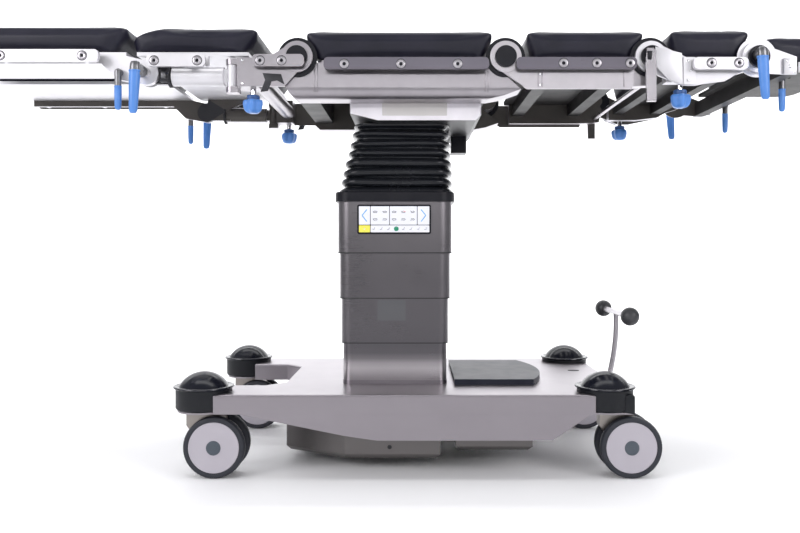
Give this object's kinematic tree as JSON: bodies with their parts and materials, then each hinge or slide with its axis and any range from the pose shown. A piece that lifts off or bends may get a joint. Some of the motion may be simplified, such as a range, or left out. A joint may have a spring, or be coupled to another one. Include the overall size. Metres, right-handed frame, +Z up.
{
  "type": "operating table",
  "caption": "Mobile operating table: castor base, telescoping column with tilting head, jointed padded top with split legs, side rails and clamping levers.",
  "frame": {"origin": "on the floor below the axis of the lifting column, midway between the leg end and the head end of the top", "axes": "+X from the leg end towards the head end, +Y to the far side, +Z up"},
  "size_m": [2.07, 0.624, 0.931],
  "materials": {
    "stainless": "fine brushed stainless sheet, satin",
    "cast_aluminium": "satin cast and machined aluminium",
    "rail_steel": "polished edge, brushed face",
    "chromed": "polished",
    "dark_metal": "dark satin",
    "bumper_rubber": "glossy moulded black",
    "bellows_rubber": "glossy black",
    "mat_rubber": "matt, fine pebbled",
    "tyre": "matt with pale grey disc",
    "upholstery": "seamless black polyurethane skin with a soft sheen",
    "grip_blue": "satin",
    "black_plastic": "glossy",
    "panel_film": "satin film",
    "fork_metal": "satin",
    "plate_grey": "satin"
  },
  "bodies": {
    "base": {"base_cover": "stainless", "base_underboxes": "stainless", "corner_bumpers": "bumper_rubber", "foot_mat": "mat_rubber", "column_cover_1": "stainless", "lift_ram_1": "chromed"},
    "pedal": {"steering_pedal": "rail_steel", "pedal_balls": "black_plastic"},
    "lift_stage_2": {"column_cover_2": "stainless", "lift_ram_2": "chromed"},
    "lift_stage_3": {"column_cover_3": "stainless", "lift_ram_3": "chromed"},
    "column_head": {"column_cover_4": "stainless", "column_collar": "black_plastic", "lift_ram_4": "dark_metal", "control_panel": "panel_film", "bellows": "bellows_rubber"},
    "cardan": {"tilt_cross": "dark_metal"},
    "seat": {"seat_frame": "cast_aluminium", "seat_rails": "rail_steel", "seat_pad": "upholstery", "head_box": "cast_aluminium", "joint_housings": "black_plastic"},
    "leg_carrier": {"leg_bracket": "cast_aluminium"},
    "back": {"back_frame": "cast_aluminium", "back_rails": "rail_steel", "back_pad": "upholstery"},
    "release": {"release_bar": "rail_steel"},
    "upper_back": {"upper_frame": "cast_aluminium", "upper_pad": "upholstery"},
    "head": {"head_frame": "cast_aluminium", "head_pad": "upholstery"},
    "swivel_front_left": {"castor_fork_front_left": "fork_metal"},
    "roll_front_left": {"castor_wheels_front_left": "tyre"},
    "swivel_rear_left": {"castor_fork_rear_left": "fork_metal"},
    "roll_rear_left": {"castor_wheels_rear_left": "tyre"},
    "swivel_front_right": {"castor_fork_front_right": "fork_metal"},
    "roll_front_right": {"castor_wheels_front_right": "tyre"},
    "swivel_rear_right": {"castor_fork_rear_right": "fork_metal"},
    "roll_rear_right": {"castor_wheels_rear_right": "tyre"},
    "leg_front": {"leg_arm_front": "cast_aluminium", "thigh_pad_front": "upholstery"},
    "calf_front": {"calf_frame_front": "plate_grey", "calf_pad_front": "upholstery"},
    "knee_lever_front": {"knee_lever_front": "grip_blue"},
    "calf_lever_front": {"calf_lever_front": "grip_blue"},
    "leg_knob_front": {"leg_knob_front": "grip_blue"},
    "back_knob_front": {"back_knob_front": "grip_blue"},
    "head_lever_front": {"head_lever_front": "grip_blue"},
    "head_tilt_lever_front": {"head_tilt_lever_front": "grip_blue"},
    "leg_rear": {"leg_arm_rear": "cast_aluminium", "thigh_pad_rear": "upholstery"},
    "calf_rear": {"calf_frame_rear": "plate_grey", "calf_pad_rear": "upholstery"},
    "knee_lever_rear": {"knee_lever_rear": "grip_blue"},
    "calf_lever_rear": {"calf_lever_rear": "grip_blue"},
    "leg_knob_rear": {"leg_knob_rear": "grip_blue"},
    "back_knob_rear": {"back_knob_rear": "grip_blue"},
    "head_lever_rear": {"head_lever_rear": "grip_blue"},
    "head_tilt_lever_rear": {"head_tilt_lever_rear": "grip_blue"}
  },
  "joints": [
    {"name": "castor_swivel_front_left", "type": "hinge", "parent": "base", "child": "swivel_front_left", "pos_m": [-0.4095, -0.235, 0.136], "axis": [0, 0, 1], "continuous": true},
    {"name": "castor_roll_front_left", "type": "hinge", "parent": "swivel_front_left", "child": "roll_front_left", "pos_m": [-0.3715, -0.235, 0.064], "axis": [0, 1, 0], "continuous": true},
    {"name": "castor_swivel_rear_left", "type": "hinge", "parent": "base", "child": "swivel_rear_left", "pos_m": [-0.4095, 0.235, 0.136], "axis": [0, 0, 1], "continuous": true},
    {"name": "castor_roll_rear_left", "type": "hinge", "parent": "swivel_rear_left", "child": "roll_rear_left", "pos_m": [-0.3715, 0.235, 0.064], "axis": [0, 1, 0], "continuous": true},
    {"name": "castor_swivel_front_right", "type": "hinge", "parent": "base", "child": "swivel_front_right", "pos_m": [0.4545, -0.235, 0.136], "axis": [0, 0, 1], "continuous": true},
    {"name": "castor_roll_front_right", "type": "hinge", "parent": "swivel_front_right", "child": "roll_front_right", "pos_m": [0.4925, -0.235, 0.064], "axis": [0, 1, 0], "continuous": true},
    {"name": "castor_swivel_rear_right", "type": "hinge", "parent": "base", "child": "swivel_rear_right", "pos_m": [0.4545, 0.235, 0.136], "axis": [0, 0, 1], "continuous": true},
    {"name": "castor_roll_rear_right", "type": "hinge", "parent": "swivel_rear_right", "child": "roll_rear_right", "pos_m": [0.4925, 0.235, 0.064], "axis": [0, 1, 0], "continuous": true},
    {"name": "pedal_tilt", "type": "hinge", "parent": "base", "child": "pedal", "pos_m": [0.508, 0, 0.165], "axis": [0, 1, 0], "range_deg": [-20, 20]},
    {"name": "lift", "type": "slide", "parent": "base", "child": "column_head", "axis": [0, 0, 1], "range_m": [-0.24, 0.06]},
    {"name": "lift_2", "type": "slide", "parent": "base", "child": "lift_stage_2", "axis": [0, 0, 1], "range_m": [-0.08, 0.02]},
    {"name": "lift_3", "type": "slide", "parent": "base", "child": "lift_stage_3", "axis": [0, 0, 1], "range_m": [-0.16, 0.04]},
    {"name": "long_tilt", "type": "hinge", "parent": "column_head", "child": "cardan", "pos_m": [0, 0, 0.678], "axis": [0, -1, 0], "range_deg": [-25, 25], "deforming": ["bellows"]},
    {"name": "side_tilt", "type": "hinge", "parent": "cardan", "child": "seat", "pos_m": [0, 0, 0.678], "axis": [1, 0, 0], "range_deg": [-20, 20], "deforming": ["bellows"]},
    {"name": "leg_joint", "type": "hinge", "parent": "seat", "child": "leg_carrier", "pos_m": [-0.199, 0, 0.872], "axis": [0, 1, 0], "range_deg": [-60, 20]},
    {"name": "back_joint", "type": "hinge", "parent": "seat", "child": "back", "pos_m": [0.232, 0, 0.872], "axis": [0, 1, 0], "range_deg": [-70, 30]},
    {"name": "release_turn", "type": "hinge", "parent": "back", "child": "release", "pos_m": [0.527, 0, 0.825], "axis": [0, 1, 0], "range_deg": [-15, 15]},
    {"name": "upper_joint", "type": "hinge", "parent": "back", "child": "upper_back", "pos_m": [0.532, 0, 0.872], "axis": [0, 1, 0], "range_deg": [-50, 20]},
    {"name": "head_joint", "type": "hinge", "parent": "upper_back", "child": "head", "pos_m": [0.753, 0, 0.872], "axis": [0, 1, 0], "range_deg": [-30, 45]},
    {"name": "leg_swing_front", "type": "hinge", "parent": "leg_carrier", "child": "leg_front", "pos_m": [-0.336, -0.25, 0.835], "axis": [0, 0, 1], "range_deg": [0, 60]},
    {"name": "knee_front", "type": "hinge", "parent": "leg_front", "child": "calf_front", "pos_m": [-0.513, -0.25, 0.841], "axis": [0, -1, 0], "range_deg": [0, 80]},
    {"name": "knee_lever_turn_front", "type": "hinge", "parent": "leg_front", "child": "knee_lever_front", "pos_m": [-0.519, -0.285, 0.841], "axis": [0, 1, 0], "range_deg": [-40, 40]},
    {"name": "calf_lever_turn_front", "type": "hinge", "parent": "calf_front", "child": "calf_lever_front", "pos_m": [-0.567, -0.272, 0.84], "axis": [0, 1, 0], "range_deg": [-40, 40]},
    {"name": "leg_knob_turn_front", "type": "hinge", "parent": "leg_carrier", "child": "leg_knob_front", "pos_m": [-0.294, -0.242, 0.79], "axis": [0, 0, 1], "continuous": true},
    {"name": "back_knob_turn_front", "type": "hinge", "parent": "upper_back", "child": "back_knob_front", "pos_m": [0.598, -0.248, 0.8], "axis": [0, 0, 1], "continuous": true},
    {"name": "head_lever_turn_front", "type": "hinge", "parent": "upper_back", "child": "head_lever_front", "pos_m": [0.75, -0.295, 0.872], "axis": [0, 1, 0], "range_deg": [-40, 40]},
    {"name": "head_tilt_lever_turn_front", "type": "hinge", "parent": "head", "child": "head_tilt_lever_front", "pos_m": [0.85, -0.166, 0.856], "axis": [0, 1, 0], "range_deg": [-45, 15]},
    {"name": "leg_swing_rear", "type": "hinge", "parent": "leg_carrier", "child": "leg_rear", "pos_m": [-0.336, 0.25, 0.835], "axis": [0, 0, -1], "range_deg": [0, 60]},
    {"name": "knee_rear", "type": "hinge", "parent": "leg_rear", "child": "calf_rear", "pos_m": [-0.513, 0.25, 0.841], "axis": [0, -1, 0], "range_deg": [0, 80]},
    {"name": "knee_lever_turn_rear", "type": "hinge", "parent": "leg_rear", "child": "knee_lever_rear", "pos_m": [-0.519, 0.285, 0.841], "axis": [0, 1, 0], "range_deg": [-40, 40]},
    {"name": "calf_lever_turn_rear", "type": "hinge", "parent": "calf_rear", "child": "calf_lever_rear", "pos_m": [-0.567, 0.272, 0.84], "axis": [0, 1, 0], "range_deg": [-40, 40]},
    {"name": "leg_knob_turn_rear", "type": "hinge", "parent": "leg_carrier", "child": "leg_knob_rear", "pos_m": [-0.294, 0.242, 0.79], "axis": [0, 0, 1], "continuous": true},
    {"name": "back_knob_turn_rear", "type": "hinge", "parent": "upper_back", "child": "back_knob_rear", "pos_m": [0.598, 0.248, 0.8], "axis": [0, 0, 1], "continuous": true},
    {"name": "head_lever_turn_rear", "type": "hinge", "parent": "upper_back", "child": "head_lever_rear", "pos_m": [0.75, 0.295, 0.872], "axis": [0, 1, 0], "range_deg": [-40, 40]},
    {"name": "head_tilt_lever_turn_rear", "type": "hinge", "parent": "head", "child": "head_tilt_lever_rear", "pos_m": [0.85, 0.166, 0.856], "axis": [0, 1, 0], "range_deg": [-45, 15]}
  ],
  "couplings": [
    {"joint": "lift_2", "follows": "lift", "ratio": 0.33333},
    {"joint": "lift_3", "follows": "lift", "ratio": 0.66667}
  ]
}
